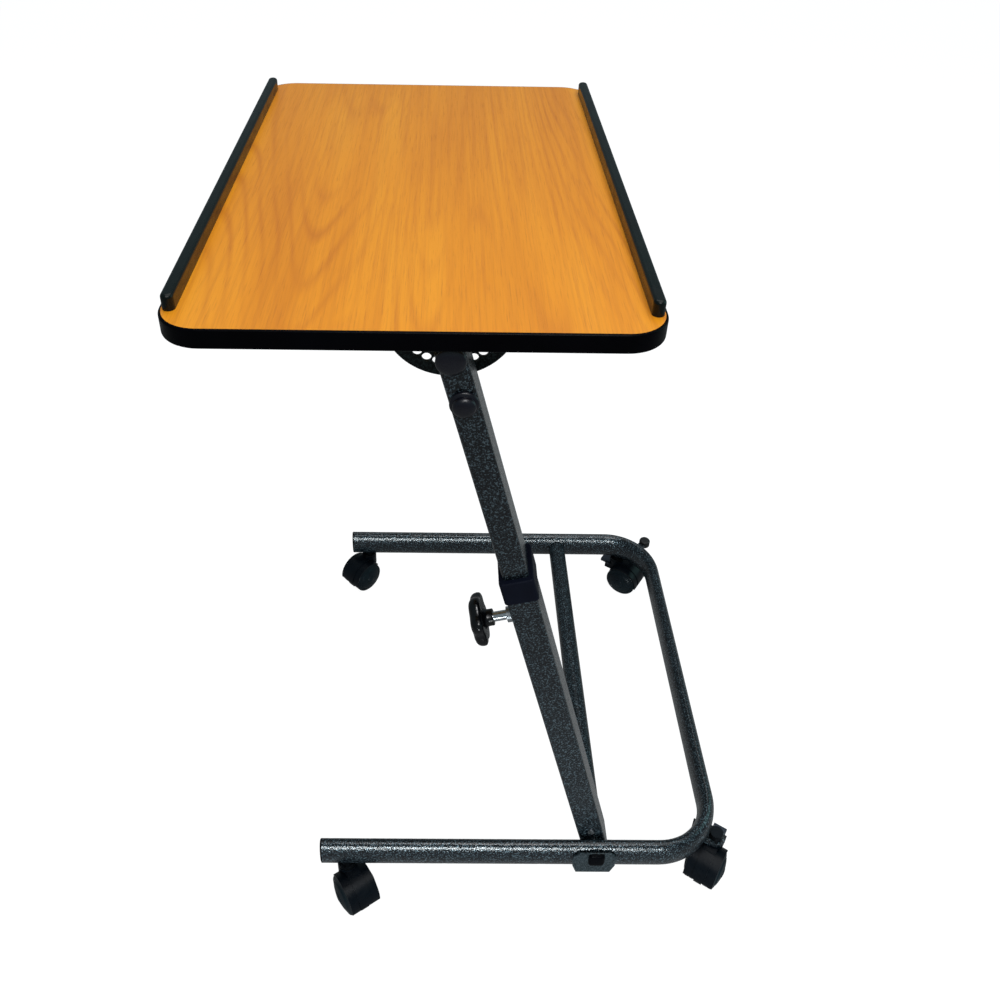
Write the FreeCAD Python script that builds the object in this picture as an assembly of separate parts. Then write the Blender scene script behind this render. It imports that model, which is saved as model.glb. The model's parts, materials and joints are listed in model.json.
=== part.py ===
import FreeCAD, Part
import math
import os

os.makedirs("parts", exist_ok=True)
V = FreeCAD.Vector

# Frame: X across the table, Y along it away from the mast, Z up. All sizes in mm.
# Drawing origin: middle of the table's short edge above the mast, on the floor.
ORIGIN = V(95.57, 276.37, 0.0)         # becomes the exported origin

# Table top
TOP_W, TOP_L, TOP_Z = 400.0, 600.0, 814.5
TOP_T, LAM_T, TOP_R = 17.5, 0.8, 35.0
BAND_T = 2.2
BARB_D, BARB_T = 4.5, 1.8
UNDER_Z = TOP_Z - TOP_T
RAIL_W, RAIL_H, RAIL_INSET = 10.5, 13.8, 3.6
RAIL_Y0, RAIL_Y1 = 27.0, 577.0
RAIL_SEAT = 0.4                       # depth of the rail's seat in the laminate
RAIL_SCREW_Y = (60.0, 220.0, 380.0, 540.0)

# Mast: two rectangular tubes leaning towards -X
MAST_X, MAST_Y = 212.4, 35.0          # axis at the height of the base tube
LEAN = 0.256                          # rad
OUT_W, OUT_D, OUT_T = 30.0, 47.0, 2.0
OUT_TOP = 459.5                       # along the mast
COLLAR_H, COLLAR_W, COLLAR_D = 28.0, 34.0, 51.0
IN_W, IN_D, IN_T = 25.0, 40.0, 2.0
IN_BOTTOM = 215.0
PIVOT_S = 724.1                       # pivot, along the mast
RUN = 0.05                            # running clearance

# Pivot arm, quadrant and lock plunger
ARM_R, ARM_T, ARM_Y0, ARM_Y1 = 11.0, 2.0, 10.0, 330.0
SADDLE_YS = (101.0, 270.0)
SADDLE_L, SADDLE_T, BUSH_T = 34.0, 2.5, 2.0
QUAD_Y, QUAD_T, QUAD_R = 78.5, 3.0, 59.5
HOLE_R, LOCK_R = 4.3, 45.3
HOLE_STEPS = (12.33, 24.66, 37.0)     # degrees beyond the mast's own lean
PIN_R = 3.6
PULL_R, PULL_Y0 = 11.8, 4.5

# Clamp on the -X face of the outer tube
CLAMP_S = 401.5                       # along the mast
SCREW_R, BOSS_R, BOSS_H = 5.0, 8.0, 7.0
KNOB_X, KNOB_R, KNOB_H = -44.7, 27.0, 13.0

# Base frame
TUBE_Z, TUBE_H, TUBE_W, TUBE_T = 82.0, 43.0, 20.0, 2.0
FRONT_Y, REAR_Y, RIGHT_X = 1.5, 532.8, 360.4
FRONT_LEFT_X, REAR_LEFT_X = -116.5, -122.3
BEND_R = 70.0
CROSS_R, CROSS_T = 12.7, 2.0
FOOT_X, PLATE_T, PLATE_TOP = 210.5, 2.0, 98.0
BOLT_XZ = (212.4, TUBE_Z + 6.5)
RIVET_XZ = (206.5, TUBE_Z + 27.0)

# Castors: stem position and heading of the trailing side in degrees. The front
# right one stands on an ear welded outboard of the bend.
FLANGE_T = 4.0
SEAT_Z = TUBE_Z - TUBE_H / 2.0
HOOD_TOP = SEAT_Z - FLANGE_T - 0.3
CASTORS = {
    "front_left": (-88.3, FRONT_Y, -56.5),
    "rear_left": (-98.5, REAR_Y, -133.0),
    "front_right": (370.8, 35.3, -123.5),
    "rear_right": (316.1, 527.9, -34.0),
}
EAR_NAME = "front_right"
EAR_FROM = V(RIGHT_X - BEND_R, FRONT_Y + BEND_R, 0.0)
EAR_W = 25.0
BRAKED = ("front_right", "rear_right")
PEDAL_L, PEDAL_W = 14.0, 17.0
WHEEL_R, WHEEL_W, WHEEL_GAP, CAP_H = 25.0, 13.5, 5.5, 5.0
AXLE_R, AXLE_E = 3.5, 18.5
HOOD_R, HOOD_T, HOOD_W = 25.6, 1.8, 38.0
STEM_R, PEG_R = 5.5, 4.0
PIVOT_U, PIVOT_H, TRUNNION_R = -11.0, 46.5, 2.0

# Buffer on a lug outside the rear right bend
CORNER_TURN = 47.0
LUG_R0, LUG_R1, LUG_W, LUG_T, LUG_Z = 78.0, 100.0, 11.0, 4.0, 80.0
BUFFER_D, BUFFER_R, BUFFER_H = 103.0, 8.6, 13.0


def box(x0, x1, y0, y1, z0, z1):
    return Part.makeBox(x1 - x0, y1 - y0, z1 - z0, V(x0, y0, z0))


def cyl_x(r, x0, x1, y, z):
    return Part.makeCylinder(r, x1 - x0, V(x0, y, z), V(1, 0, 0))


def cyl_y(r, y0, y1, x, z):
    return Part.makeCylinder(r, y1 - y0, V(x, y0, z), V(0, 1, 0))


def cyl_z(r, z0, z1, x, y):
    return Part.makeCylinder(r, z1 - z0, V(x, y, z0), V(0, 0, 1))


def vertical_edges(shape):
    found = []
    for edge in shape.Edges:
        a, b = edge.Vertexes[0].Point, edge.Vertexes[-1].Point
        if abs(a.x - b.x) < 1e-6 and abs(a.y - b.y) < 1e-6 and abs(a.z - b.z) > 1e-6:
            found.append(edge)
    return found


def round_box(cx, cy, w, d, r, z0, z1):
    """Upright block with rounded vertical edges, centred on cx, cy."""
    block = box(cx - w / 2, cx + w / 2, cy - d / 2, cy + d / 2, z0, z1)
    return block.makeFillet(r, vertical_edges(block))


def tube_box(w, d, r, t, z0, z1):
    outer = round_box(MAST_X, MAST_Y, w, d, r, z0, z1)
    return outer.cut(round_box(MAST_X, MAST_Y, w - 2 * t, d - 2 * t, max(r - t, 0.6), z0 - 1, z1 + 1))


def fuse(shapes):
    body = shapes[0]
    for shape in shapes[1:]:
        body = body.fuse(shape)
    return body.removeSplitter()


def lean(shape):
    """Tips a shape drawn upright about the mast foot onto the leaning mast."""
    shape = shape.copy()
    shape.rotate(V(MAST_X, MAST_Y, TUBE_Z), V(0, 1, 0), -math.degrees(LEAN))
    return shape


def on_mast(s, x=0.0):
    """Point in the XZ plane at distance s up the mast and x across it."""
    return (MAST_X - s * math.sin(LEAN) + x * math.cos(LEAN),
            TUBE_Z + s * math.cos(LEAN) + x * math.sin(LEAN))


PIVOT_X, PIVOT_Z = on_mast(PIVOT_S)
LOCK_X, LOCK_Z = on_mast(PIVOT_S - LOCK_R)


def screw_up(x, y, z, shank_r, length, head_r, head_h):
    """Pan-head screw driven upwards, its head under z."""
    head = cyl_z(head_r, z - head_h, z, x, y)
    head = head.makeFillet(head_h * 0.4, [e for e in head.Edges if abs(e.BoundBox.ZMax - z + head_h) < 1e-6
                                          and abs(e.BoundBox.ZMin - z + head_h) < 1e-6])
    return head.fuse(cyl_z(shank_r, z - 0.2, z + length, x, y)).removeSplitter()


# Table top

def slab(inset, z0, z1):
    return round_box(0, TOP_L / 2, TOP_W - 2 * inset, TOP_L - 2 * inset, TOP_R - inset, z0, z1)


def barb(inset):
    mid = UNDER_Z + (TOP_T - LAM_T) / 2
    ring = slab(inset, mid - BARB_T / 2, mid + BARB_T / 2)
    return ring.cut(slab(BAND_T + BARB_D, mid - BARB_T, mid + BARB_T))


def top_screw_spots():
    spots = []
    for y in SADDLE_YS:
        for sx in (-1, 1):
            for sy in (-1, 1):
                spots.append((PIVOT_X + sx * 27.0, y + sy * 9.0))
    return spots


def quad_screw_spots():
    return [(PIVOT_X - 38.0, QUAD_Y - 8.0), (PIVOT_X + 38.0, QUAD_Y - 8.0)]


def rail_x(side):
    return side * (TOP_W / 2 - RAIL_INSET - RAIL_W / 2)


def rail_spots():
    return [(rail_x(side), y) for side in (-1, 1) for y in RAIL_SCREW_Y]


def rail_bar(side, top):
    """Round-ended bar standing in its seat in the laminate."""
    return round_box(rail_x(side), (RAIL_Y0 + RAIL_Y1) / 2, RAIL_W, RAIL_Y1 - RAIL_Y0, RAIL_W / 2 - 0.05,
                     TOP_Z - RAIL_SEAT, top)


def top_board():
    board = slab(BAND_T, UNDER_Z, TOP_Z - LAM_T).cut(barb(BAND_T - 1))
    for x, y in top_screw_spots() + quad_screw_spots():
        board = board.cut(cyl_z(1.8, UNDER_Z - 1, UNDER_Z + 11.0, x, y))
    for x, y in rail_spots():
        board = board.cut(cyl_z(1.75, UNDER_Z - 1, TOP_Z, x, y))
        board = board.cut(cyl_z(4.0, UNDER_Z - 1, UNDER_Z + 2.5, x, y))
    return board


def top_laminate():
    sheet = slab(BAND_T, TOP_Z - LAM_T, TOP_Z)
    for x, y in rail_spots():
        sheet = sheet.cut(cyl_z(1.75, TOP_Z - 2, TOP_Z + 1, x, y))
    for side in (-1, 1):
        sheet = sheet.cut(rail_bar(side, TOP_Z + 1))
    return sheet


def edge_band():
    lip = slab(0, UNDER_Z, TOP_Z)
    rims = [e for e in lip.Edges if e.BoundBox.ZMax - e.BoundBox.ZMin < 1e-6]
    lip = lip.makeFillet(1.9, rims).cut(slab(BAND_T, UNDER_Z - 1, TOP_Z + 1))
    return fuse([lip, barb(BAND_T - 0.5)])


def rail(side):
    x = rail_x(side)
    bar = rail_bar(side, TOP_Z + RAIL_H)
    crown = [e for e in bar.Edges if e.BoundBox.ZMin > TOP_Z + RAIL_H - 1e-6]
    bar = bar.makeFillet(3.0, crown)
    for y in RAIL_SCREW_Y:
        bar = bar.cut(cyl_z(1.75, TOP_Z - 1, TOP_Z + 9.0, x, y))
    return bar


def rail_screws():
    screws = []
    for x, y in rail_spots():
        head = cyl_z(3.8, UNDER_Z + 0.5, UNDER_Z + 2.5, x, y)
        screws.append(head.fuse(cyl_z(1.75, UNDER_Z + 2.4, TOP_Z + 8.0, x, y)).removeSplitter())
    return Part.makeCompound(screws)


# Tilt pivot under the top

def saddle(y):
    """Pipe strap that hangs the top on the bush round the pivot arm."""
    y0, y1 = y - SADDLE_L / 2, y + SADDLE_L / 2
    r = ARM_R + RUN + BUSH_T
    shell = cyl_y(r + SADDLE_T, y0, y1, PIVOT_X, PIVOT_Z)
    shell = shell.fuse(box(PIVOT_X - r - SADDLE_T, PIVOT_X + r + SADDLE_T, y0, y1, PIVOT_Z, UNDER_Z))
    shell = shell.fuse(box(PIVOT_X - 36.0, PIVOT_X + 36.0, y0, y1, UNDER_Z - SADDLE_T, UNDER_Z))
    shell = shell.cut(box(-99, 199, y0 - 1, y1 + 1, UNDER_Z, UNDER_Z + 9))
    shell = shell.cut(cyl_y(r, y0 - 1, y1 + 1, PIVOT_X, PIVOT_Z))
    shell = shell.cut(box(PIVOT_X - r, PIVOT_X + r, y0 - 1, y1 + 1, PIVOT_Z, UNDER_Z + 1))
    for x, ys in top_screw_spots():
        if abs(ys - y) < SADDLE_L / 2:
            shell = shell.cut(cyl_z(2.2, UNDER_Z - 10, UNDER_Z + 1, x, ys))
    return shell.removeSplitter()


def saddle_bush(y):
    y0, y1 = y - SADDLE_L / 2 - 2, y + SADDLE_L / 2 + 2
    bush = cyl_y(ARM_R + RUN + BUSH_T, y0, y1, PIVOT_X, PIVOT_Z)
    return bush.cut(cyl_y(ARM_R + RUN, y0 - 1, y1 + 1, PIVOT_X, PIVOT_Z))


def saddle_screws():
    return Part.makeCompound([screw_up(x, y, UNDER_Z - SADDLE_T, 1.8, 13.0, 4.0, 2.4)
                              for x, y in top_screw_spots()])


def quadrant_plate():
    disc = cyl_y(QUAD_R, QUAD_Y, QUAD_Y + QUAD_T, PIVOT_X, PIVOT_Z)
    disc = disc.cut(box(PIVOT_X - 99, PIVOT_X + 99, QUAD_Y - 1, QUAD_Y + QUAD_T + 1, UNDER_Z, UNDER_Z + 99))
    flange = box(PIVOT_X - 53.5, PIVOT_X + 53.5, QUAD_Y - 15.0, QUAD_Y + QUAD_T, UNDER_Z - QUAD_T, UNDER_Z)
    plate = disc.fuse(flange)
    plate = plate.cut(cyl_y(ARM_R + 0.5, QUAD_Y - 20, QUAD_Y + 9, PIVOT_X, PIVOT_Z))
    plate = plate.cut(cyl_y(HOLE_R, QUAD_Y - 1, QUAD_Y + QUAD_T + 1, PIVOT_X, PIVOT_Z - LOCK_R))
    for step in (0.0,) + HOLE_STEPS:
        for side in (-1, 1):
            angle = side * (LEAN + math.radians(step))
            x = PIVOT_X + LOCK_R * math.sin(angle)
            z = PIVOT_Z - LOCK_R * math.cos(angle)
            plate = plate.cut(cyl_y(HOLE_R, QUAD_Y - 1, QUAD_Y + QUAD_T + 1, x, z))
    for x, y in quad_screw_spots():
        plate = plate.cut(cyl_z(2.2, UNDER_Z - 9, UNDER_Z + 1, x, y))
    return plate.removeSplitter()


def quadrant_screws():
    return Part.makeCompound([screw_up(x, y, UNDER_Z - QUAD_T, 1.8, 13.0, 4.0, 2.4)
                              for x, y in quad_screw_spots()])


def pivot_arm():
    arm = cyl_y(ARM_R, ARM_Y0, ARM_Y1, PIVOT_X, PIVOT_Z)
    return arm.cut(cyl_y(ARM_R - ARM_T, ARM_Y0 - 1, ARM_Y1 + 1, PIVOT_X, PIVOT_Z))


def arm_plug(y, out, head_r, head_h, crown):
    """Domed plug in one end of the arm; out is -1 at the front, 1 at the rear."""
    face = y + out * head_h
    flange = cyl_y(head_r, min(y, face), max(y, face), PIVOT_X, PIVOT_Z)
    rim = [e for e in flange.Edges if abs(e.BoundBox.YMin - face) < 1e-6 and abs(e.BoundBox.YMax - face) < 1e-6]
    flange = flange.makeFillet(crown, rim)
    stem_end = y - out * 14.0
    stem = cyl_y(ARM_R - ARM_T, min(y, stem_end), max(y, stem_end), PIVOT_X, PIVOT_Z)
    return fuse([flange, stem])


# Sliding upper mast

def inner_tube():
    top = TUBE_Z + PIVOT_S + 5.0
    tube = lean(tube_box(IN_W, IN_D, 3.0, IN_T, TUBE_Z + IN_BOTTOM, top))
    tube = tube.cut(cyl_y(ARM_R, 0, 99, PIVOT_X, PIVOT_Z))
    tube = tube.cut(cyl_y(7.0, MAST_Y, 99, LOCK_X, LOCK_Z))
    return tube.cut(cyl_y(PIN_R + RUN, 0, 99, LOCK_X, LOCK_Z))


def inner_glide():
    """Plastic foot that closes the inner tube and runs inside the outer one."""
    w, d = OUT_W - 2 * OUT_T - 2 * RUN, OUT_D - 2 * OUT_T - 2 * RUN
    z = TUBE_Z + IN_BOTTOM
    pad = round_box(MAST_X, MAST_Y, w, d, 1.5, z - 12.0, z)
    spigot = round_box(MAST_X, MAST_Y, IN_W - 2 * IN_T, IN_D - 2 * IN_T, 1.0, z - 1.0, z + 20.0)
    return lean(fuse([pad, spigot]))


def plunger_housing():
    """Barrel through the mast, its nose reaching back towards the quadrant."""
    body = cyl_y(7.0, MAST_Y + 2.0, QUAD_Y - 4.0, LOCK_X, LOCK_Z)
    return body.cut(cyl_y(PIN_R + RUN, 0, QUAD_Y, LOCK_X, LOCK_Z))


def plunger_knob():
    back_y = MAST_Y - IN_D / 2 - 0.3
    knob = cyl_y(PULL_R, PULL_Y0, back_y, LOCK_X, LOCK_Z)
    front = [e for e in knob.Edges if e.BoundBox.YMax < PULL_Y0 + 0.1]
    back = [e for e in knob.Edges if e.BoundBox.YMin > back_y - 0.1]
    knob = knob.makeFillet(6.0, front).makeFillet(0.8, back)
    return knob.cut(cyl_y(PIN_R, back_y - 5.0, back_y + 1, LOCK_X, LOCK_Z))


def plunger_pin():
    pin = cyl_y(PIN_R, MAST_Y - IN_D / 2 - 5.3, QUAD_Y - 0.3, LOCK_X, LOCK_Z)
    pin = pin.makeChamfer(0.8, [e for e in pin.Edges if e.BoundBox.YMin > QUAD_Y - 0.5])
    return fuse([pin, cyl_y(5.3, MAST_Y - 4.0, MAST_Y - 1.0, LOCK_X, LOCK_Z)])


def plunger_spring():
    """Spring between the mast's front wall and the collar of the pin."""
    wire, r = 0.45, 4.8
    y0, y1 = MAST_Y - IN_D / 2 + IN_T + wire + RUN, MAST_Y - 4.0 - wire - RUN
    helix = Part.makeHelix((y1 - y0) / 6.0, y1 - y0, r)
    section = [V(r + wire * math.cos(math.radians(45 * k)), 0, wire * math.sin(math.radians(45 * k)))
               for k in range(9)]
    profile = Part.Wire(Part.makePolygon(section))
    coil = Part.Wire(helix.Edges).makePipeShell([profile], True, True)
    coil.rotate(V(0, 0, 0), V(1, 0, 0), -90.0)
    coil.translate(V(LOCK_X, y0, LOCK_Z))
    return coil


# Fixed mast

def outer_tube():
    tube = lean(tube_box(OUT_W, OUT_D, 3.0, OUT_T, TUBE_Z - 60.0, TUBE_Z + OUT_TOP))
    tube = tube.cut(box(0, 400, -50, 200, 0, TUBE_Z - TUBE_H / 2))
    x0, z0 = on_mast(CLAMP_S, -OUT_W)
    hole = Part.makeCylinder(SCREW_R + 1.0, OUT_W, V(x0, MAST_Y, z0), V(math.cos(LEAN), 0, math.sin(LEAN)))
    tube = tube.cut(hole)
    for x, z in (BOLT_XZ, RIVET_XZ):
        tube = tube.cut(cyl_y(3.0, 0, MAST_Y, x, z))
    return tube


def collar_bush():
    """Plastic collar on the outer tube, with a sleeve that guides the inner tube."""
    z = TUBE_Z + OUT_TOP
    cap = round_box(MAST_X, MAST_Y, COLLAR_W, COLLAR_D, 4.0, z - 18.0, z + COLLAR_H - 18.0)
    cap = cap.makeFillet(1.5, [e for e in cap.Edges if e.BoundBox.ZMin > z + COLLAR_H - 18.001])
    cap = cap.cut(round_box(MAST_X, MAST_Y, OUT_W, OUT_D, 3.0, z - 19.0, z))
    sleeve = round_box(MAST_X, MAST_Y, OUT_W - 2 * OUT_T, OUT_D - 2 * OUT_T, 1.0, z - 18.0, z + 1.0)
    bore = round_box(MAST_X, MAST_Y, IN_W + 2 * RUN, IN_D + 2 * RUN, 3.0, z - 40.0, z + 40.0)
    return lean(fuse([cap, sleeve]).cut(bore))


def across_mast(r, x0, x1):
    """Upright-drawn cylinder on the clamp axis, from x0 to x1 across the mast."""
    return cyl_x(r, MAST_X + x0, MAST_X + x1, MAST_Y, TUBE_Z + CLAMP_S)


def clamp_boss():
    boss = across_mast(BOSS_R, -OUT_W / 2 - BOSS_H, -OUT_W / 2)
    return lean(boss.cut(across_mast(SCREW_R + RUN, -40.0, 0.0)))


def clamp_pad():
    """Pressure pad that the screw turns in, held just off the inner tube."""
    pad = across_mast(3.0, -IN_W / 2 - 0.45, -IN_W / 2 - 0.1)
    return lean(fuse([pad, across_mast(1.6, -19.0, -IN_W / 2 - 0.4)]))


def clamp_screw():
    screw = across_mast(SCREW_R, KNOB_X - 8.0, -OUT_W / 2 + 1.5)
    return lean(screw.cut(across_mast(1.6 + RUN, -20.0, 0.0)))


def clamp_knob():
    """Lobed knob with a short hub towards the mast."""
    z = TUBE_Z + CLAMP_S
    body = across_mast(KNOB_R, KNOB_X - KNOB_H, KNOB_X)
    rim = [e for e in body.Edges if e.BoundBox.XMax < MAST_X + KNOB_X - KNOB_H + 0.1]
    body = body.makeFillet(5.0, rim)
    for k in range(6):
        angle = math.radians(60.0 * k + 15.0)
        y, dz = 36.0 * math.cos(angle), 36.0 * math.sin(angle)
        body = body.cut(cyl_x(13.5, MAST_X + KNOB_X - 40, MAST_X + KNOB_X + 1, MAST_Y + y, z + dz))
    hub = across_mast(8.5, KNOB_X - 1.0, KNOB_X + 9.0)
    return lean(fuse([body, hub]).cut(across_mast(SCREW_R, KNOB_X - 8.0, KNOB_X + 10.0)))


# Base frame

def oval_face(w, h, x, y, z):
    """Elliptical section in the YZ plane."""
    ring = Part.Ellipse(V(x, y, z + h / 2), V(x, y + w / 2, z), V(x, y, z)).toShape()
    return Part.Face(Part.Wire([ring]))


def oval_run(w, h, extra):
    """U-shaped oval bar along the base, extended by extra at its open ends."""
    cx = RIGHT_X - BEND_R
    x0, x1 = FRONT_LEFT_X - extra, REAR_LEFT_X - extra
    front = oval_face(w, h, x0, FRONT_Y, TUBE_Z).extrude(V(cx - x0, 0, 0))
    rear = oval_face(w, h, x1, REAR_Y, TUBE_Z).extrude(V(cx - x1, 0, 0))
    bend_f = oval_face(w, h, cx, FRONT_Y, TUBE_Z).revolve(V(cx, FRONT_Y + BEND_R, 0), V(0, 0, 1), 90)
    bend_r = oval_face(w, h, cx, REAR_Y, TUBE_Z).revolve(V(cx, REAR_Y - BEND_R, 0), V(0, 0, 1), -90)
    side = oval_face(w, h, 0, 0, 0).extrude(V(REAR_Y - FRONT_Y - 2 * BEND_R, 0, 0))
    side.rotate(V(0, 0, 0), V(0, 0, 1), 90)
    side.translate(V(RIGHT_X, FRONT_Y + BEND_R, TUBE_Z))
    return fuse([front, bend_f, side, bend_r, rear])


def base_tube():
    tube = oval_run(TUBE_W, TUBE_H, 0).cut(oval_run(TUBE_W - 2 * TUBE_T, TUBE_H - 2 * TUBE_T, 1.0))
    for name, (x, y, heading) in CASTORS.items():
        if name != EAR_NAME:
            tube = tube.cut(cyl_z(7.0, SEAT_Z - 1, TUBE_Z - 5, x, y))
    return tube.cut(cyl_y(3.0, FRONT_Y - 20, FRONT_Y + 20, *BOLT_XZ))


def base_plug(x, y):
    head = oval_face(TUBE_W, TUBE_H, x - 2.0, y, TUBE_Z).extrude(V(2.0, 0, 0))
    head = head.makeFillet(1.2, [e for e in head.Edges if e.BoundBox.XMax < x - 1.9])
    w, h = TUBE_W - 2 * TUBE_T, TUBE_H - 2 * TUBE_T
    return fuse([head, oval_face(w, h, x, y, TUBE_Z).extrude(V(16.0, 0, 0))])


def cross_bar():
    y0, y1 = MAST_Y + OUT_D / 2, REAR_Y - TUBE_W / 2
    bar = cyl_y(CROSS_R, y0, y1, MAST_X, TUBE_Z)
    return bar.cut(cyl_y(CROSS_R - CROSS_T, y0 - 1, y1 + 1, MAST_X, TUBE_Z))


def foot_bracket():
    """Folded strap: plate on the front of the base tube, web under tube and mast."""
    z0 = TUBE_Z - TUBE_H / 2 - PLATE_T
    front_y, rear_y = FRONT_Y - TUBE_W / 2 - PLATE_T, FRONT_Y + TUBE_W / 2
    pts = [(-25.5, z0 + 14.0), (-20.5, z0), (20.5, z0), (25.5, z0 + 14.0),
           (25.5, PLATE_TOP - 6), (19.5, PLATE_TOP), (-19.5, PLATE_TOP), (-25.5, PLATE_TOP - 6)]
    ring = [V(FOOT_X + x, front_y, z) for x, z in pts]
    plate = Part.Face(Part.makePolygon(ring + ring[:1])).extrude(V(0, PLATE_T, 0))
    web = box(FOOT_X - 20.5, FOOT_X + 20.5, front_y, rear_y, z0, z0 + PLATE_T)
    tongue = box(FOOT_X - 6.0, FOOT_X + 20.5, rear_y - 1, MAST_Y + OUT_D / 2, z0, z0 + PLATE_T)
    return fuse([plate, web, tongue]).cut(cyl_y(3.0, front_y - 1, front_y + 4, *BOLT_XZ))


def foot_bolt():
    x, z = BOLT_XZ
    y = FRONT_Y - TUBE_W / 2 - PLATE_T
    return fuse([cyl_y(6.5, y - 2.2, y, x, z), cyl_y(3.0, y - 1.0, MAST_Y - 12.0, x, z)])


def foot_bolt_cap():
    x, z = BOLT_XZ
    y = FRONT_Y - TUBE_W / 2 - PLATE_T
    cap = cyl_y(9.3, y - 4.0, y, x, z)
    cap = cap.makeFillet(2.0, [e for e in cap.Edges if e.BoundBox.YMax < y - 3.9])
    return cap.cut(cyl_y(6.5, y - 2.2, y + 1, x, z))


def foot_nut():
    """Nut fixed inside the mast tube behind its front wall."""
    x, z = BOLT_XZ
    y = MAST_Y - OUT_D / 2 + OUT_T
    ring = [V(x + 5.8 * math.cos(math.radians(60 * k)), y, z + 5.8 * math.sin(math.radians(60 * k)))
            for k in range(7)]
    nut = Part.Face(Part.makePolygon(ring)).extrude(V(0, 5.0, 0))
    return nut.cut(cyl_y(3.0, y - 1, y + 9, x, z))


def foot_rivet():
    x, z = RIVET_XZ
    y = MAST_Y - OUT_D / 2
    return fuse([cyl_y(4.0, y - 1.2, y, x, z), cyl_y(3.0, y - 1, y + 6.0, x, z)])


# Castors, drawn trailing towards +X round a stem at the origin

def placed(shape, name):
    x, y, heading = CASTORS[name]
    shape = shape.copy()
    shape.rotate(V(0, 0, 0), V(0, 0, 1), heading)
    shape.translate(V(x, y, 0))
    return shape


def castor_ear():
    """Flat ear from under the bend out to the castor stem."""
    x, y, heading = CASTORS[EAR_NAME]
    reach = math.hypot(x - EAR_FROM.x, y - EAR_FROM.y)
    ear = box(BEND_R - 12.0, reach, -EAR_W / 2, EAR_W / 2, SEAT_Z - FLANGE_T, SEAT_Z)
    ear = ear.fuse(cyl_z(EAR_W / 2, SEAT_Z - FLANGE_T, SEAT_Z, reach, 0))
    ear = ear.cut(cyl_z(7.0, 0, TUBE_Z, reach, 0))
    ear.rotate(V(0, 0, 0), V(0, 0, 1), math.degrees(math.atan2(y - EAR_FROM.y, x - EAR_FROM.x)))
    ear.translate(EAR_FROM)
    return ear.removeSplitter()


def castor_sockets():
    """Ferrules for the stems: three up inside the tube, one standing on the ear."""
    sockets = []
    for name, (x, y, heading) in CASTORS.items():
        if name == EAR_NAME:
            body = fuse([cyl_z(7.0, SEAT_Z - FLANGE_T, SEAT_Z + 1, x, y), cyl_z(8.0, SEAT_Z, SEAT_Z + 9.0, x, y)])
            bore_top = SEAT_Z + 6.0
        else:
            body = fuse([cyl_z(11.0, SEAT_Z - FLANGE_T, SEAT_Z, x, y), cyl_z(7.0, SEAT_Z - 1, TUBE_Z - 3, x, y)])
            bore_top = TUBE_Z - 6.0
        sockets.append(body.cut(cyl_z(STEM_R, SEAT_Z - 9, bore_top, x, y)))
    return Part.makeCompound(sockets)


def castor_stem(name):
    """Grip stem pressed in the socket; the lower peg is the swivel pin."""
    top = SEAT_Z + 6.0 if name == EAR_NAME else TUBE_Z - 6.0
    return fuse([cyl_z(STEM_R, SEAT_Z - FLANGE_T, top, 0, 0), cyl_z(PEG_R, 42.0, SEAT_Z, 0, 0)])


def on_corner(shape):
    """Turns a shape drawn outwards along +X onto the rear right bend."""
    shape = shape.copy()
    shape.rotate(V(0, 0, 0), V(0, 0, 1), CORNER_TURN)
    shape.translate(V(RIGHT_X - BEND_R, REAR_Y - BEND_R, 0))
    return shape


def corner_lug():
    lug = box(LUG_R0, LUG_R1, -LUG_W / 2, LUG_W / 2, LUG_Z, LUG_Z + LUG_T)
    lug = on_corner(lug).cut(oval_run(TUBE_W, TUBE_H, 0))
    return lug.Solids[0]


def corner_buffer():
    z = LUG_Z + LUG_T / 2
    block = cyl_z(BUFFER_R, z - BUFFER_H / 2, z + BUFFER_H / 2, BUFFER_D, 0)
    block = block.makeFillet(3.0, [e for e in block.Edges if e.BoundBox.ZMax - e.BoundBox.ZMin < 1e-6])
    return on_corner(block.cut(box(LUG_R0, LUG_R1, -LUG_W / 2, LUG_W / 2, LUG_Z, LUG_Z + LUG_T)))


def hood_band(r0, r1, half, start, sweep):
    """Band round the axle line; start and sweep in degrees up from the trailing side."""
    ring = [V(r0, -half, 0), V(r1, -half, 0), V(r1, half, 0), V(r0, half, 0), V(r0, -half, 0)]
    strip = Part.Face(Part.makePolygon(ring))
    strip.rotate(V(0, 0, 0), V(0, 1, 0), -start)
    band = strip.revolve(V(0, 0, 0), V(0, 1, 0), -sweep)
    band.translate(V(AXLE_E, 0, WHEEL_R))
    return band


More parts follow.
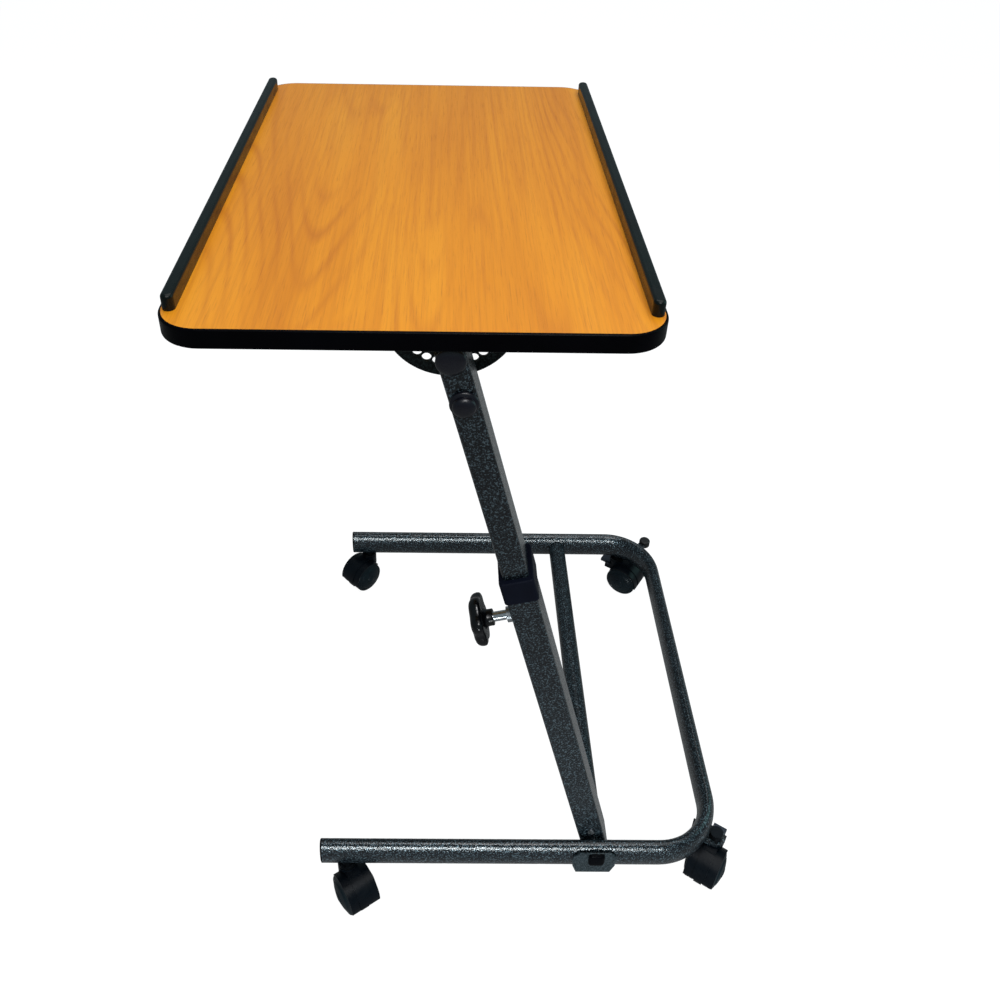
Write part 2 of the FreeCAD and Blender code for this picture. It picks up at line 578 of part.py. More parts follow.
def castor_hood(braked):
    """Swivel body: neck, central web, arched hood over both wheels and a raised spine."""
    gap = WHEEL_GAP - 0.6
    web = cyl_y(HOOD_R + 0.5, -gap, gap, AXLE_E, WHEEL_R)
    web = web.cut(box(-50, 90, -50, 50, -20, WHEEL_R - 13.0))
    neck = cyl_z(11.5, 38.0, HOOD_TOP, 0, 0)
    ramp = box(0.0, AXLE_E + 2.0, -8.0, 8.0, 38.0, HOOD_TOP - 2.0)
    solids = [neck, ramp]
    if braked:
        lug = box(PIVOT_U - 4.0, 2.0, 8.8, 11.4, 38.0, PIVOT_H + 3.0)
        solids += [lug, lug.mirror(V(0, 0, 0), V(0, 1, 0))]
    inside = cyl_y(HOOD_R, -HOOD_W, HOOD_W, AXLE_E, WHEEL_R)
    solids = [web] + [s.cut(inside) for s in solids]
    arch = hood_band(HOOD_R, HOOD_R + HOOD_T, HOOD_W / 2, -4.0, 142.0)
    spine = hood_band(HOOD_R, HOOD_R + HOOD_T + 1.2, 8.0, 4.0, 90.0)
    hood = fuse([arch, spine] + solids)
    if braked:
        hood = hood.cut(cyl_y(TRUNNION_R + RUN, -20, 20, PIVOT_U, PIVOT_H))
        hood = hood.cut(box(-40, -7.9, -8.8, 8.8, 30.0, HOOD_TOP + 1))
    hood = hood.cut(cyl_z(PEG_R + RUN, 41.9, 70.0, 0, 0))
    return hood.cut(cyl_y(AXLE_R, -30, 30, AXLE_E, WHEEL_R))


def castor_axle():
    end = WHEEL_GAP + WHEEL_W - 2.0
    return cyl_y(AXLE_R, -end, end, AXLE_E, WHEEL_R)


def castor_wheel(side):
    """Wheel with rounded tread, domed outside cap and a blind axle bore."""
    a, b = WHEEL_GAP, WHEEL_GAP + WHEEL_W
    pts = [V(0, b + CAP_H, 0), V(0, a, 0), V(WHEEL_R - 1.5, a, 0), V(WHEEL_R, a + 1.5, 0), V(WHEEL_R, b - 2.0, 0),
           V(WHEEL_R - 1.8, b, 0), V(WHEEL_R - 2.6, b, 0)]
    rim = pts[-1].x
    ball = (rim ** 2 + CAP_H ** 2) / (2 * CAP_H)
    crown = V(rim / 2, b + CAP_H - ball + math.sqrt(ball ** 2 - rim ** 2 / 4), 0)
    dome = Part.Arc(pts[-1], crown, pts[0]).toShape()
    wheel = Part.Face(Part.Wire(Part.makePolygon(pts).Edges + [dome])).revolve(V(0, 0, 0), V(0, 1, 0), 360)
    wheel = wheel.cut(Part.makeCylinder(AXLE_R + RUN, WHEEL_W, V(0, a - 1, 0), V(0, 1, 0)))
    if side < 0:
        wheel.rotate(V(0, 0, 0), V(0, 0, 1), 180)
    wheel.translate(V(AXLE_E, 0, WHEEL_R))
    return wheel


def brake_pedal():
    """Foot pedal on the leading side, its trunnions held by two lugs of the hood."""
    x1 = PIVOT_U + 1.8
    pad = box(PIVOT_U - PEDAL_L, x1, -PEDAL_W / 2, PEDAL_W / 2, PIVOT_H - 2.4, PIVOT_H + 2.4)
    pad = pad.makeFillet(1.4, [e for e in pad.Edges if e.BoundBox.XMax < x1 - 0.1])
    return fuse([pad, cyl_y(TRUNNION_R, -11.2, 11.2, PIVOT_U, PIVOT_H)])


def save(shape, name):
    shape = shape.copy()
    shape.translate(-ORIGIN)
    shape.exportStep("parts/" + name + ".step")


def main():
    nodes = {
        "top_board": top_board(),
        "top_laminate": top_laminate(),
        "edge_band": edge_band(),
        "rail_left": rail(-1),
        "rail_right": rail(1),
        "rail_screws": rail_screws(),
        "saddle_front": saddle(SADDLE_YS[0]),
        "saddle_rear": saddle(SADDLE_YS[1]),
        "bush_front": saddle_bush(SADDLE_YS[0]),
        "bush_rear": saddle_bush(SADDLE_YS[1]),
        "saddle_screws": saddle_screws(),
        "quadrant_plate": quadrant_plate(),
        "quadrant_screws": quadrant_screws(),
        "pivot_arm": pivot_arm(),
        "arm_plug_front": arm_plug(ARM_Y0, -1, 12.6, 5.2, 4.4),
        "arm_plug_rear": arm_plug(ARM_Y1, 1, ARM_R, 3.2, 2.6),
        "inner_tube": inner_tube(),
        "inner_glide": inner_glide(),
        "plunger_housing": plunger_housing(),
        "plunger_knob": plunger_knob(),
        "plunger_pin": plunger_pin(),
        "plunger_spring": plunger_spring(),
        "outer_tube": outer_tube(),
        "collar_bush": collar_bush(),
        "clamp_boss": clamp_boss(),
        "clamp_pad": clamp_pad(),
        "clamp_screw": clamp_screw(),
        "clamp_knob": clamp_knob(),
        "base_tube": base_tube(),
        "base_plug_front": base_plug(FRONT_LEFT_X, FRONT_Y),
        "base_plug_rear": base_plug(REAR_LEFT_X, REAR_Y),
        "cross_bar": cross_bar(),
        "foot_bracket": foot_bracket(),
        "foot_bolt": foot_bolt(),
        "foot_bolt_cap": foot_bolt_cap(),
        "foot_nut": foot_nut(),
        "foot_rivet": foot_rivet(),
        "castor_sockets": castor_sockets(),
        "castor_ear": castor_ear(),
        "corner_lug": corner_lug(),
        "corner_buffer": corner_buffer(),
    }
    nodes["castor_stems"] = Part.makeCompound([placed(castor_stem(name), name) for name in CASTORS])
    for name in CASTORS:
        nodes["hood_" + name] = placed(castor_hood(name in BRAKED), name)
        nodes["axle_" + name] = placed(castor_axle(), name)
        nodes["wheel_a_" + name] = placed(castor_wheel(1), name)
        nodes["wheel_b_" + name] = placed(castor_wheel(-1), name)
    for name in BRAKED:
        nodes["brake_" + name] = placed(brake_pedal(), name)
    for name, shape in nodes.items():
        save(shape, name)


main()
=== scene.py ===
import json
import math

import bmesh
import bpy
from mathutils import Matrix, Vector


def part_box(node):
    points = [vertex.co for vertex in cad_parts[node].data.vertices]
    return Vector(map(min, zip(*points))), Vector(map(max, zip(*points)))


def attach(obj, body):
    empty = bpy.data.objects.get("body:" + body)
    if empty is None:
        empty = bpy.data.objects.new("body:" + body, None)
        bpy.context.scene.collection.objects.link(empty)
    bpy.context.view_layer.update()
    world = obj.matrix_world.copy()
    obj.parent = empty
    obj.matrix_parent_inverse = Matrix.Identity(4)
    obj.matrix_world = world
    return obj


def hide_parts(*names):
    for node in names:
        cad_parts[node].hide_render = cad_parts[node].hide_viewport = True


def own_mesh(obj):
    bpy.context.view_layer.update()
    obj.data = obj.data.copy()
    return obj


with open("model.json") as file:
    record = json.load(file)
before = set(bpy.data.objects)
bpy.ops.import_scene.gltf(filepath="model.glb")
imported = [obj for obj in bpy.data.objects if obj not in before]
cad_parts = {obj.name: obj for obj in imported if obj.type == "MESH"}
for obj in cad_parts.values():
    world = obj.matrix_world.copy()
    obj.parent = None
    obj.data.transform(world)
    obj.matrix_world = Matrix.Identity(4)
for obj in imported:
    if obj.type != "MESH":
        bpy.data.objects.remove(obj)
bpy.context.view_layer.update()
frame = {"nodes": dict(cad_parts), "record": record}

NODES = frame["nodes"]
JOINTS = {j["name"]: j for j in frame["record"]["behaviour"]["joints"]}
CASTORS = ("front_left", "rear_left", "front_right", "rear_right")


# ---------------------------------------------------------------- materials

def rgba(red, green, blue):
    """Linear colour from 0-255 display values."""
    def lin(v):
        v /= 255.0
        return v / 12.92 if v <= 0.04045 else ((v + 0.055) / 1.055) ** 2.4
    return (lin(red), lin(green), lin(blue), 1.0)


class Shader:
    """A node material under construction."""

    def __init__(self, name, rough=0.5, metal=0.0, spec=0.5, coat=0.0, coat_rough=0.1):
        self.mat = bpy.data.materials.new(name)
        self.mat.use_nodes = True
        self.tree = self.mat.node_tree
        self.bsdf = self.tree.nodes["Principled BSDF"]
        self.bsdf.inputs["Roughness"].default_value = rough
        self.bsdf.inputs["Metallic"].default_value = metal
        self.bsdf.inputs["Specular IOR Level"].default_value = spec
        self.bsdf.inputs["Coat Weight"].default_value = coat
        self.bsdf.inputs["Coat Roughness"].default_value = coat_rough
        self.coords = self.tree.nodes.new("ShaderNodeTexCoord").outputs["Object"]

    def link(self, a, b):
        self.tree.links.new(a, b)

    def mapped(self, scale=(1, 1, 1), turn=(0, 0, 0), shift=(0, 0, 0)):
        node = self.tree.nodes.new("ShaderNodeMapping")
        node.inputs["Scale"].default_value = scale
        node.inputs["Rotation"].default_value = turn
        node.inputs["Location"].default_value = shift
        self.link(self.coords, node.inputs["Vector"])
        return node.outputs["Vector"]

    def noise(self, scale, vector=None, detail=3.0, rough=0.55, distort=0.0):
        node = self.tree.nodes.new("ShaderNodeTexNoise")
        node.inputs["Scale"].default_value = scale
        node.inputs["Detail"].default_value = detail
        node.inputs["Roughness"].default_value = rough
        node.inputs["Distortion"].default_value = distort
        self.link(vector or self.coords, node.inputs["Vector"])
        return node.outputs["Fac"]

    def cells(self, scale, vector=None):
        node = self.tree.nodes.new("ShaderNodeTexVoronoi")
        node.inputs["Scale"].default_value = scale
        self.link(vector or self.coords, node.inputs["Vector"])
        return node.outputs["Distance"]

    def ramp(self, fac, stops):
        node = self.tree.nodes.new("ShaderNodeValToRGB")
        elements = node.color_ramp.elements
        while len(elements) < len(stops):
            elements.new(0.5)
        for element, (place, colour) in zip(elements, stops):
            element.position = place
            element.color = colour if len(colour) == 4 else (*colour, 1.0)
        self.link(fac, node.inputs["Fac"])
        return node.outputs["Color"]

    def span(self, fac, low, high, a, b):
        """Maps low..high of a value onto a..b."""
        node = self.tree.nodes.new("ShaderNodeMapRange")
        node.inputs["From Min"].default_value = low
        node.inputs["From Max"].default_value = high
        node.inputs["To Min"].default_value = a
        node.inputs["To Max"].default_value = b
        self.link(fac, node.inputs["Value"])
        return node.outputs["Result"]

    def mix(self, fac, a, b):
        node = self.tree.nodes.new("ShaderNodeMix")
        node.data_type = "RGBA"
        for value, key in ((fac, 0), (a, 6), (b, 7)):
            if hasattr(value, "is_linked"):
                self.link(value, node.inputs[key])
            else:
                node.inputs[key].default_value = value
        return node.outputs[2]

    def math(self, op, a, b=0.0):
        node = self.tree.nodes.new("ShaderNodeMath")
        node.operation = op
        for k, value in enumerate((a, b)):
            if hasattr(value, "is_linked"):
                self.link(value, node.inputs[k])
            else:
                node.inputs[k].default_value = value
        return node.outputs[0]

    def colour(self, value):
        self.link(value, self.bsdf.inputs["Base Color"])

    def rough(self, value):
        self.link(value, self.bsdf.inputs["Roughness"])

    def bump(self, height, strength, distance, target="Normal"):
        node = self.tree.nodes.new("ShaderNodeBump")
        node.inputs["Strength"].default_value = strength
        node.inputs["Distance"].default_value = distance
        self.link(height, node.inputs["Height"])
        self.link(node.outputs["Normal"], self.bsdf.inputs[target])


def hammer_paint(name, dark, mid, light, fleck=0.5, coat=0.75):
    """Vein powder coat: dark pools, lighter metallic flecks, a rippled surface."""
    s = Shader(name, rough=0.34, metal=0.35, spec=0.12, coat=coat, coat_rough=0.13)
    veins = s.noise(620.0, detail=2.5, rough=0.62, distort=0.7)
    pools = s.cells(520.0)
    both = s.math("ADD", s.math("MULTIPLY", veins, 0.8), s.math("MULTIPLY", pools, 0.28))
    s.colour(s.ramp(both, [(fleck - 0.05, dark), (fleck + 0.03, mid), (fleck + 0.13, light)]))
    s.rough(s.span(both, 0.35, 0.65, 0.44, 0.28))
    s.bump(both, 0.6, 0.0009)
    s.bump(both, 0.4, 0.0007, "Coat Normal")
    return s.mat


def moulded(name, low, high, rough=0.36, grain=900.0, depth=0.00012, coat=0.0, spec=0.5):
    """Moulded plastic: slight shade drift, fine grain and handling marks in the gloss."""
    s = Shader(name, rough=rough, spec=spec, coat=coat, coat_rough=0.15)
    drift = s.noise(24.0, detail=4.0)
    s.colour(s.ramp(drift, [(0.3, low), (0.7, high)]))
    marks = s.noise(140.0, s.mapped(scale=(1.0, 0.35, 1.0)), detail=6.0, rough=0.7)
    s.rough(s.span(marks, 0.3, 0.7, rough - 0.07, rough + 0.12))
    s.bump(s.noise(grain, detail=2.0), 0.35, depth)
    return s.mat


def plated(name, tint, rough):
    """Plated steel with a fine worn grain."""
    s = Shader(name, rough=rough, metal=1.0)
    lines = s.noise(420.0, detail=5.0, rough=0.7)
    s.colour(s.ramp(lines, [(0.2, tuple(c * 0.8 for c in tint[:3])), (0.8, tint)]))
    s.rough(s.span(lines, 0.3, 0.7, rough * 0.6, rough * 1.6))
    s.bump(lines, 0.15, 0.00006)
    return s.mat


def wood_laminate():
    """Oak-grain sheet: broad tone bands, cathedral figure, fine pores along the length."""
    s = Shader("oak_laminate", rough=0.42, spec=0.45, coat=0.22, coat_rough=0.3)
    warp = s.noise(1.0, s.mapped(scale=(3.2, 1.5, 1.0)), detail=2.0)
    bands = s.noise(1.0, s.mapped(scale=(20.0, 1.6, 1.0)), detail=3.0, rough=0.5, distort=0.3)
    tone = s.ramp(bands, [(0.28, rgba(226, 136, 14)), (0.5, rgba(240, 150, 20)),
                          (0.74, rgba(248, 162, 30))])
    # contour lines of a slowly varying field give the nested arches of flat-sawn wood
    field = s.noise(1.0, s.mapped(scale=(8.0, 0.7, 1.0), shift=(0.35, 0.1, 0.0)), detail=1.0, rough=0.3)
    drifted = s.math("ADD", field, s.math("MULTIPLY", warp, 0.12))
    rings = s.math("PINGPONG", s.math("MULTIPLY", drifted, 70.0), 1.0)
    lines = s.span(rings, 0.0, 0.5, 1.0, 0.0)
    patchy = s.span(s.noise(1.0, s.mapped(scale=(9.0, 3.0, 1.0)), detail=2.0), 0.44, 0.64, 0.06, 0.5)
    figured = s.mix(s.math("MULTIPLY", lines, patchy), tone, rgba(190, 98, 14))
    pores = s.noise(1.0, s.mapped(scale=(900.0, 26.0, 1.0)), detail=3.0, rough=0.7)
    streak = s.span(pores, 0.54, 0.72, 0.0, 0.38)
    fine = s.noise(1.0, s.mapped(scale=(260.0, 4.0, 1.0)), detail=4.0, rough=0.6)
    soft = s.span(fine, 0.46, 0.68, 0.0, 0.42)
    grain = s.mix(soft, figured, rgba(206, 118, 20))
    s.colour(s.mix(streak, grain, rgba(170, 88, 18)))
    s.rough(s.span(pores, 0.4, 0.7, 0.33, 0.45))
    s.bump(pores, 0.12, 0.00008)
    return s.mat


def chipboard():
    """Raw board: pressed chips and flakes."""
    s = Shader("chipboard", rough=0.85, spec=0.2)
    chips = s.cells(260.0, vector=s.mapped(scale=(1.0, 0.45, 1.0)))
    flakes = s.noise(480.0, s.mapped(scale=(1.0, 0.3, 1.0)), detail=4.0, rough=0.7)
    both = s.math("ADD", s.math("MULTIPLY", chips, 0.5), s.math("MULTIPLY", flakes, 0.7))
    s.colour(s.ramp(both, [(0.3, rgba(120, 92, 60)), (0.5, rgba(186, 156, 112)),
                           (0.72, rgba(214, 190, 148))]))
    s.bump(both, 0.5, 0.0004)
    return s.mat


MATS = {
    "frame_paint": hammer_paint("hammer_paint", rgba(3, 7, 12), rgba(16, 25, 33), rgba(88, 104, 112), 0.55),
    "particle_board": chipboard(),
    "wood_laminate": wood_laminate(),
    "edge_plastic": moulded("edge_plastic", rgba(2, 2, 4), rgba(4, 4, 8), rough=0.28, grain=600.0, spec=0.04),
    "rail_plastic": moulded("rail_plastic", rgba(4, 11, 11), rgba(10, 21, 20), rough=0.26, spec=0.22),
    "collar_plastic": moulded("collar_plastic", rgba(9, 12, 24), rgba(15, 19, 33), rough=0.5, spec=0.08),
    "black_plastic": moulded("black_plastic", rgba(4, 5, 7), rgba(6, 7, 11), rough=0.24, spec=0.02),
    "bright_steel": plated("bright_steel", rgba(214, 218, 222), rough=0.16),
    "zinc_screws": plated("zinc_screws", rgba(178, 182, 186), rough=0.32),
    "ferrule_steel": plated("ferrule_steel", rgba(34, 38, 42), rough=0.42),
    "knob_plastic": moulded("knob_plastic", rgba(4, 5, 7), rgba(6, 7, 11), rough=0.2, spec=0.4),
    "bush_plastic": moulded("bush_plastic", rgba(205, 203, 194), rgba(226, 224, 216), rough=0.5),
    "castor_plastic": moulded("castor_plastic", rgba(3, 7, 13), rgba(6, 12, 19), rough=0.30, spec=0.16),
    "wheel_plastic": moulded("wheel_plastic", rgba(7, 16, 22), rgba(14, 28, 34), rough=0.38, spec=0.16),
    "pedal_plastic": moulded("pedal_plastic", rgba(10, 18, 34), rgba(20, 34, 52), rough=0.34, coat=0.2),
    "cap_plastic": moulded("cap_plastic", rgba(4, 5, 16), rgba(8, 9, 24), rough=0.28, grain=700.0, spec=0.5),
    "buffer_rubber": moulded("buffer_rubber", rgba(8, 9, 10), rgba(18, 19, 21), rough=0.55, grain=1400.0),
}

for part in frame["record"]["subparts"]:
    holder = NODES[part["node"]]
    holder.data.materials.clear()
    holder.data.materials.append(MATS[part["material_slot"]])


# ---------------------------------------------------------------- remodelled pieces

def finish_mesh(name, bm, slot, body, replaced, crease=35.0, look=None):
    """Turns a bmesh into a smooth-shaded piece that stands for CAD nodes and rides on a body.

    look names a material other than the slot's own.
    """
    bmesh.ops.recalc_face_normals(bm, faces=bm.faces)
    data = bpy.data.meshes.new(name)
    bm.to_mesh(data)
    bm.free()
    data.shade_smooth()
    data.set_sharp_from_angle(angle=math.radians(crease))
    obj = bpy.data.objects.new(name, data)
    bpy.context.scene.collection.objects.link(obj)
    data.materials.append(MATS[look or slot])
    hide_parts(*replaced)
    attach(obj, body)
    return obj


def loft(bm, rings):
    """Skins closed rings of points and fans both ends shut."""
    loops = [[bm.verts.new(p) for p in ring] for ring in rings]
    for low, high in zip(loops, loops[1:]):
        for k in range(len(low)):
            n = (k + 1) % len(low)
            bm.faces.new((low[k], low[n], high[n], high[k]))
    for loop in (loops[0], loops[-1]):
        hub = bm.verts.new(sum((v.co for v in loop), Vector()) / len(loop))
        for k in range(len(loop)):
            bm.faces.new((hub, loop[k], loop[(k + 1) % len(loop)]))


def axis_frame(origin, axis):
    """Matrix whose local Z runs along axis from origin."""
    return Matrix.Translation(Vector(origin)) @ Vector(axis).to_track_quat("Z", "Y").to_matrix().to_4x4()


def lathe(bm, turn, profile, segments=72):
    """Solid of revolution about the frame's Z from (radius, height) pairs in mm."""
    loft(bm, [[turn @ Vector((r / 1000 * math.cos(t), r / 1000 * math.sin(t), h / 1000))
               for t in (2 * math.pi * k / segments for k in range(segments))] for r, h in profile])


def clamp_knob():
    """Six-lobed clamp knob with a crowned face, soft edges and a stepped hub."""
    joint = JOINTS["clamp_turn"]
    turn = axis_frame(joint["pos_m"], joint["axis"])
    lobes, segments, radius, scallop = 6, 144, 0.027, 0.0036
    # height in mm, share of the radius
    body = [(44.7, 0.80), (45.0, 0.90), (45.9, 0.965), (47.4, 0.995), (49.5, 1.0), (52.0, 0.985),
            (54.2, 0.945), (55.9, 0.87), (57.0, 0.76), (57.5, 0.62), (57.6, 0.46), (57.3, 0.40), (57.3, 0.12)]
    rings = []
    for height, share in body:
        ring = []
        for k in range(segments):
            angle = 2 * math.pi * k / segments
            fade = min(1.0, max(0.0, (share - 0.42) / 0.4))
            dip = (0.5 + 0.5 * math.cos(lobes * angle)) ** 1.3 * scallop * fade
            r = radius * share - dip
            ring.append(turn @ Vector((r * math.cos(angle), r * math.sin(angle), height / 1000)))
        rings.append(ring)
    bm = bmesh.new()
    loft(bm, rings)
    hub = [(6.6, 35.8), (8.0, 35.8), (8.5, 36.3), (8.5, 41.0), (9.4, 43.2), (12.0, 44.9)]
    lathe(bm, turn, hub, segments=64)
    finish_mesh("clamp_knob_moulding", bm, "black_plastic", "clamp_knob", ["clamp_knob"],
                look="knob_plastic")


def castor_wheel(name, letter):
    """Tyre with rounded shoulders and a domed cap with a ring groove and hub button."""
    joint = JOINTS["roll_%s_%s" % (letter, name)]
    side = 1.0 if letter == "a" else -1.0
    turn = axis_frame(joint["pos_m"], [side * c for c in joint["axis"]])
    rim, base, rise = 22.4, 19.0, 5.0
    ball = (rim ** 2 + rise ** 2) / (2 * rise)

    def dome(r, sink=0.0):
        return (r, base + rise - ball + math.sqrt(ball ** 2 - r ** 2) - sink)

    tread = [(3.6, 5.5), (12.0, 5.5), (23.2, 5.5), (24.4, 5.9), (25.0, 7.0), (25.0, 11.2),
             (24.7, 11.5), (24.7, 12.3), (25.0, 12.6), (25.0, 16.6), (24.5, 18.0), (23.4, 18.9),
             (22.6, 19.0)]
    cap = [dome(22.0), dome(20.2), dome(19.6, 0.7), dome(18.6, 0.75), dome(18.0), dome(15.0),
           dome(11.0), dome(7.6), dome(7.2, 0.6), dome(6.6, 0.6), dome(6.2), dome(5.6, -0.35),
           dome(3.0, -0.55), dome(0.6, -0.6)]
    bm = bmesh.new()
    lathe(bm, turn, tread + cap)
    node = "wheel_%s_%s" % (letter, name)
    finish_mesh("tyre_%s_%s" % (letter, name), bm, "wheel_plastic", node, [node],
                crease=50.0)


def bolt_cap():
    """Square push-on cap with soft corners over the foot bolt's head."""
    low, high = (Vector(v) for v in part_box("foot_bolt_cap"))
    centre = (low + high) / 2
    turn = axis_frame((centre.x, high.y, centre.z), (0, -1, 0))
    depth, half_x, half_z = high.y - low.y, 0.0096, 0.0108
    segments, squareness = 64, 6
    # share of the depth, share of the half width
    steps = [(0.0, 0.97), (0.12, 1.0), (0.55, 0.99), (0.8, 0.93), (0.94, 0.82), (1.0, 0.62), (1.0, 0.2)]
    rings = []
    for h, share in steps:
        ring = []
        for k in range(segments):
            t = 2 * math.pi * k / segments
            c, q = math.cos(t), math.sin(t)
            r = share / (abs(c) ** squareness + abs(q) ** squareness) ** (1 / squareness)
            ring.append(turn @ Vector((half_x * r * c, half_z * r * q, depth * h)))
        rings.append(ring)
    bm = bmesh.new()
    loft(bm, rings)
    finish_mesh("bolt_cap", bm, "black_plastic", "base", ["foot_bolt_cap"])


def front_caps():
    """Domed plug in the pivot arm and mushroom head of the lock plunger, both facing the front."""
    low, high = (Vector(v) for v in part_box("arm_plug_front"))
    centre = (low + high) / 2
    bm = bmesh.new()
    head = 0.0052
    lathe(bm, axis_frame((centre.x, low.y + head, centre.z), (0, -1, 0)),
          [(8.5, -14.0), (8.95, -13.4), (8.95, 0.0), (12.1, 0.0), (12.55, 0.4), (12.6, 1.1),
           (12.35, 1.9), (11.6, 2.7), (10.2, 3.5), (8.4, 4.2), (6.2, 4.7), (3.6, 5.05), (0.8, 5.2)])
    finish_mesh("arm_cap", bm, "black_plastic", "upper_mast", ["arm_plug_front"],
                look="cap_plastic")
    low, high = (Vector(v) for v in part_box("plunger_knob"))
    centre = (low + high) / 2
    depth = (high.y - low.y) * 1000
    bm = bmesh.new()
    lathe(bm, axis_frame((centre.x, high.y, centre.z), (0, -1, 0)),
          [(3.7, 0.0), (11.6, 0.0), (12.3, 0.4), (12.5, 1.2), (12.4, 2.2), (11.8, 2.9),
           (10.4, 3.3), (9.6, 3.7), (9.5, 4.3), (9.9, 5.0), (10.0, 5.8), (9.7, 6.9),
           (8.9, 8.0), (7.5, 8.9), (5.7, 9.6), (3.4, depth - 0.12), (0.8, depth)])
    finish_mesh("plunger_cap", bm, "black_plastic", "lock_plunger", ["plunger_knob"],
                look="cap_plastic")


def coil_spring():
    """Coil spring of the lock plunger, with a mesh of its own, riding on the plunger; the real spring
    shortens towards the pin's collar on the pull.
    """
    low, high = (Vector(v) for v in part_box("plunger_spring"))
    centre = (low + high) / 2
    wire, turns, steps, sides = 0.00045, 6.0, 30, 10
    radius = (high.x - low.x) / 2 - wire
    start, stop = low.y + wire, high.y - wire
    rings = []
    for k in range(int(turns * steps) + 1):
        share = k / (turns * steps)
        angle = 2 * math.pi * turns * share
        out = Vector((math.cos(angle), 0.0, math.sin(angle)))
        hub = Vector((centre.x, start + (stop - start) * share, centre.z)) + radius * out
        rings.append([hub + wire * (math.cos(t) * out + math.sin(t) * Vector((0, 1, 0)))
                      for t in (2 * math.pi * n / sides for n in range(sides))])
    bm = bmesh.new()
    loft(bm, rings)
    coil = finish_mesh("coil_spring", bm, "bright_steel", "lock_plunger", ["plunger_spring"], crease=60.0)
    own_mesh(coil)


coil_spring()
bolt_cap()
front_caps()
clamp_knob()
for castor in CASTORS:
    for letter in "ab":
        castor_wheel(castor, letter)


NODES["clamp_boss"].data.materials[0] = MATS["zinc_screws"]
# painted light: a lighter copy of the frame paint with fainter flecks, standing in for the stronger light on
# the foot bracket
NODES["foot_bracket"].data.materials[0] = hammer_paint(
    "bracket_paint_painted_light", rgba(22, 32, 36), rgba(40, 52, 58), rgba(66, 78, 84), 0.5, coat=0.3)
# painted shade: a darker, flatter copy of the frame paint with dim flecks and little gloss, standing in for
# the shade on the quadrant plate under the top
NODES["quadrant_plate"].data.materials[0] = hammer_paint(
    "plate_paint_painted_shade", rgba(10, 15, 15), rgba(22, 30, 30), rgba(40, 52, 52), 0.53, coat=0.12)


# ---------------------------------------------------------------- stage

GLOW_INDIRECT, GLOW_DIRECT = 0.12, 0.96
LAMPS = (  # name, place, aim, size, watts, colour, spread in degrees
    ("overhead", (0.3, 0.1, 2.9), (0.0, 0.0, 0.0), (3.2, 2.0), 36.0, (1, 1, 1), 180.0),
    ("front", (0.15, -1.5, 2.1), (0.0, -0.1, 0.6), (0.7, 0.5), 16.0, (1, 1, 1), 180.0),
    ("right", (2.4, 0.2, 1.3), (0.0, 0.0, 0.5), (1.6, 1.8), 10.0, (0.5, 0.98, 0.95), 180.0),
    ("low_front", (0.1, -2.4, 0.18), (0.1, 0.0, 0.14), (3.0, 0.26), 3.6, (0.9, 0.98, 1.0), 24.0),
)


def white_floor():
    """Self-lit floor, on which the object throws almost no shadow."""
    data = bpy.data.meshes.new("floor")
    half = 14.0
    corners = [(-half, -half, 0), (half, -half, 0), (half, half, 0), (-half, half, 0)]
    data.from_pydata(corners, [], [(0, 1, 2, 3)])
    floor = bpy.data.objects.new("floor", data)
    bpy.context.scene.collection.objects.link(floor)
    mat = bpy.data.materials.new("pale_floor")
    mat.use_nodes = True
    bsdf = mat.node_tree.nodes["Principled BSDF"]
    bsdf.inputs["Base Color"].default_value = (0.16, 0.165, 0.17, 1.0)
    bsdf.inputs["Roughness"].default_value = 0.9
    bsdf.inputs["Specular IOR Level"].default_value = 0.0
    bsdf.inputs["Emission Color"].default_value = (1.0, 1.0, 1.0, 1.0)
    # near white where the camera sees it directly, a dim grey in reflections and in its light
    path = mat.node_tree.nodes.new("ShaderNodeLightPath")
    glow = mat.node_tree.nodes.new("ShaderNodeMapRange")
    glow.inputs["To Min"].default_value = GLOW_INDIRECT
    glow.inputs["To Max"].default_value = GLOW_DIRECT
    mat.node_tree.links.new(path.outputs["Is Camera Ray"], glow.inputs["Value"])
    mat.node_tree.links.new(glow.outputs["Result"], bsdf.inputs["Emission Strength"])
    data.materials.append(mat)


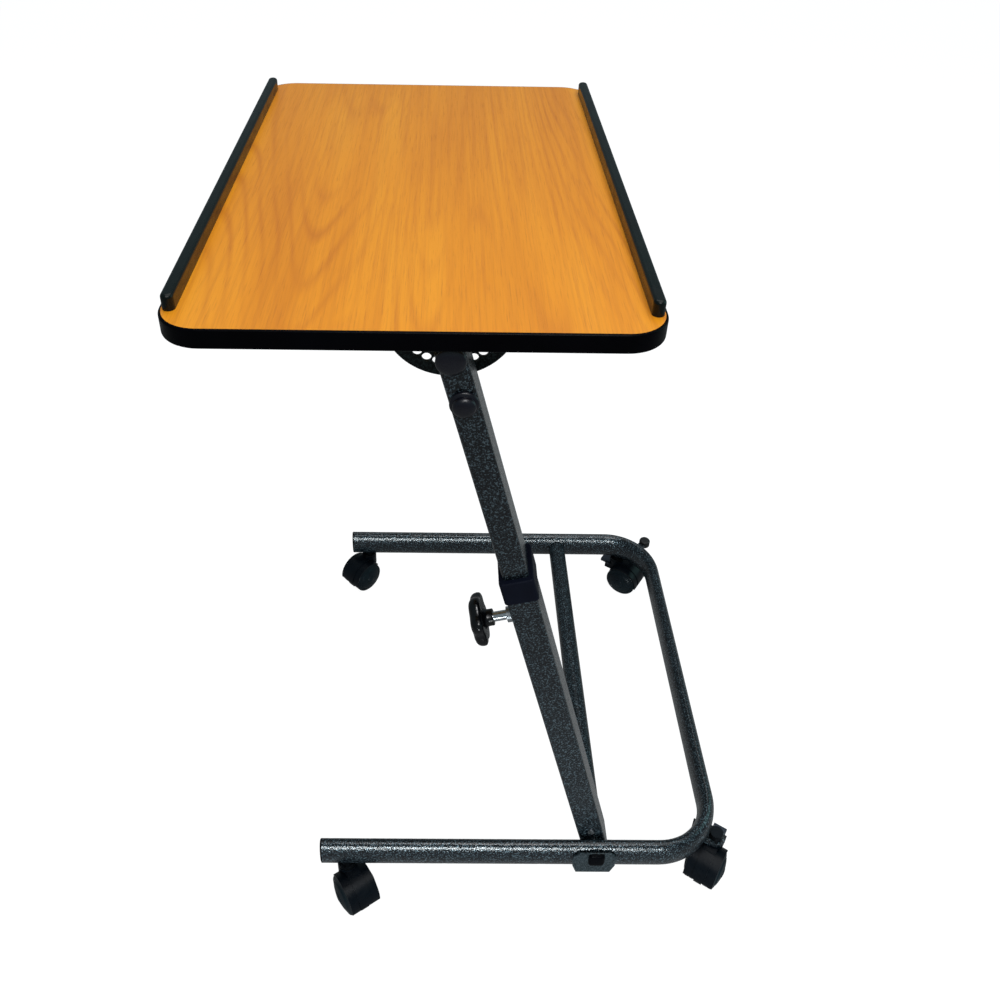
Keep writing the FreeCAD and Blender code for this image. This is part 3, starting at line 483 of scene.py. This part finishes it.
def area_light(name, place, aim, size, power, colour, spread):
    data = bpy.data.lights.new(name, "AREA")
    data.spread = math.radians(spread)
    data.shape = "RECTANGLE"
    data.size, data.size_y = size
    data.energy = power
    data.color = colour
    lamp = bpy.data.objects.new(name, data)
    bpy.context.scene.collection.objects.link(lamp)
    lamp.location = place
    lamp.rotation_euler = (Vector(aim) - Vector(place)).to_track_quat("-Z", "Y").to_euler()


def studio():
    """World and lamps, tinted and placed for the main view."""
    world = bpy.data.worlds.new("studio")
    bpy.context.scene.world = world
    world.use_nodes = True
    tree = world.node_tree
    ambient = tree.nodes["Background"]
    ambient.inputs["Color"].default_value = (0.70, 0.88, 0.96, 1.0)
    ambient.inputs["Strength"].default_value = 0.24
    # the camera sees a white backdrop, while the light the world gives is dim and cool
    paper = tree.nodes.new("ShaderNodeBackground")
    paper.inputs["Color"].default_value = (1.0, 1.0, 1.0, 1.0)
    path = tree.nodes.new("ShaderNodeLightPath")
    both = tree.nodes.new("ShaderNodeMixShader")
    tree.links.new(path.outputs["Is Camera Ray"], both.inputs["Fac"])
    tree.links.new(ambient.outputs["Background"], both.inputs[1])
    tree.links.new(paper.outputs["Background"], both.inputs[2])
    tree.links.new(both.outputs["Shader"], tree.nodes["World Output"].inputs["Surface"])
    for lamp in LAMPS:
        area_light(*lamp)


def camera():
    """Main viewpoint, in metres and radians."""
    data = bpy.data.cameras.new("camera")
    data.sensor_width = 36.0
    data.lens = 34.276
    data.shift_x, data.shift_y = 0.0441, -0.0899
    cam = bpy.data.objects.new("camera", data)
    bpy.context.scene.collection.objects.link(cam)
    place = (-0.07117, -0.89187, 1.1906)
    pitch, yaw, roll = 0.629, 0.015, 0.020
    ahead = Vector((math.sin(yaw) * math.cos(pitch), math.cos(yaw) * math.cos(pitch), -math.sin(pitch)))
    right = Vector((math.cos(yaw), -math.sin(yaw), 0.0))
    up = right.cross(ahead)
    r = math.cos(roll) * right + math.sin(roll) * up
    u = -math.sin(roll) * right + math.cos(roll) * up
    turn = Matrix((r, u, -ahead)).transposed().to_4x4()
    cam.matrix_world = Matrix.Translation(place) @ turn
    data.clip_start, data.clip_end = 0.05, 60.0
    bpy.context.scene.camera = cam


white_floor()
studio()
camera()
bpy.context.scene.view_settings.view_transform = "Standard"
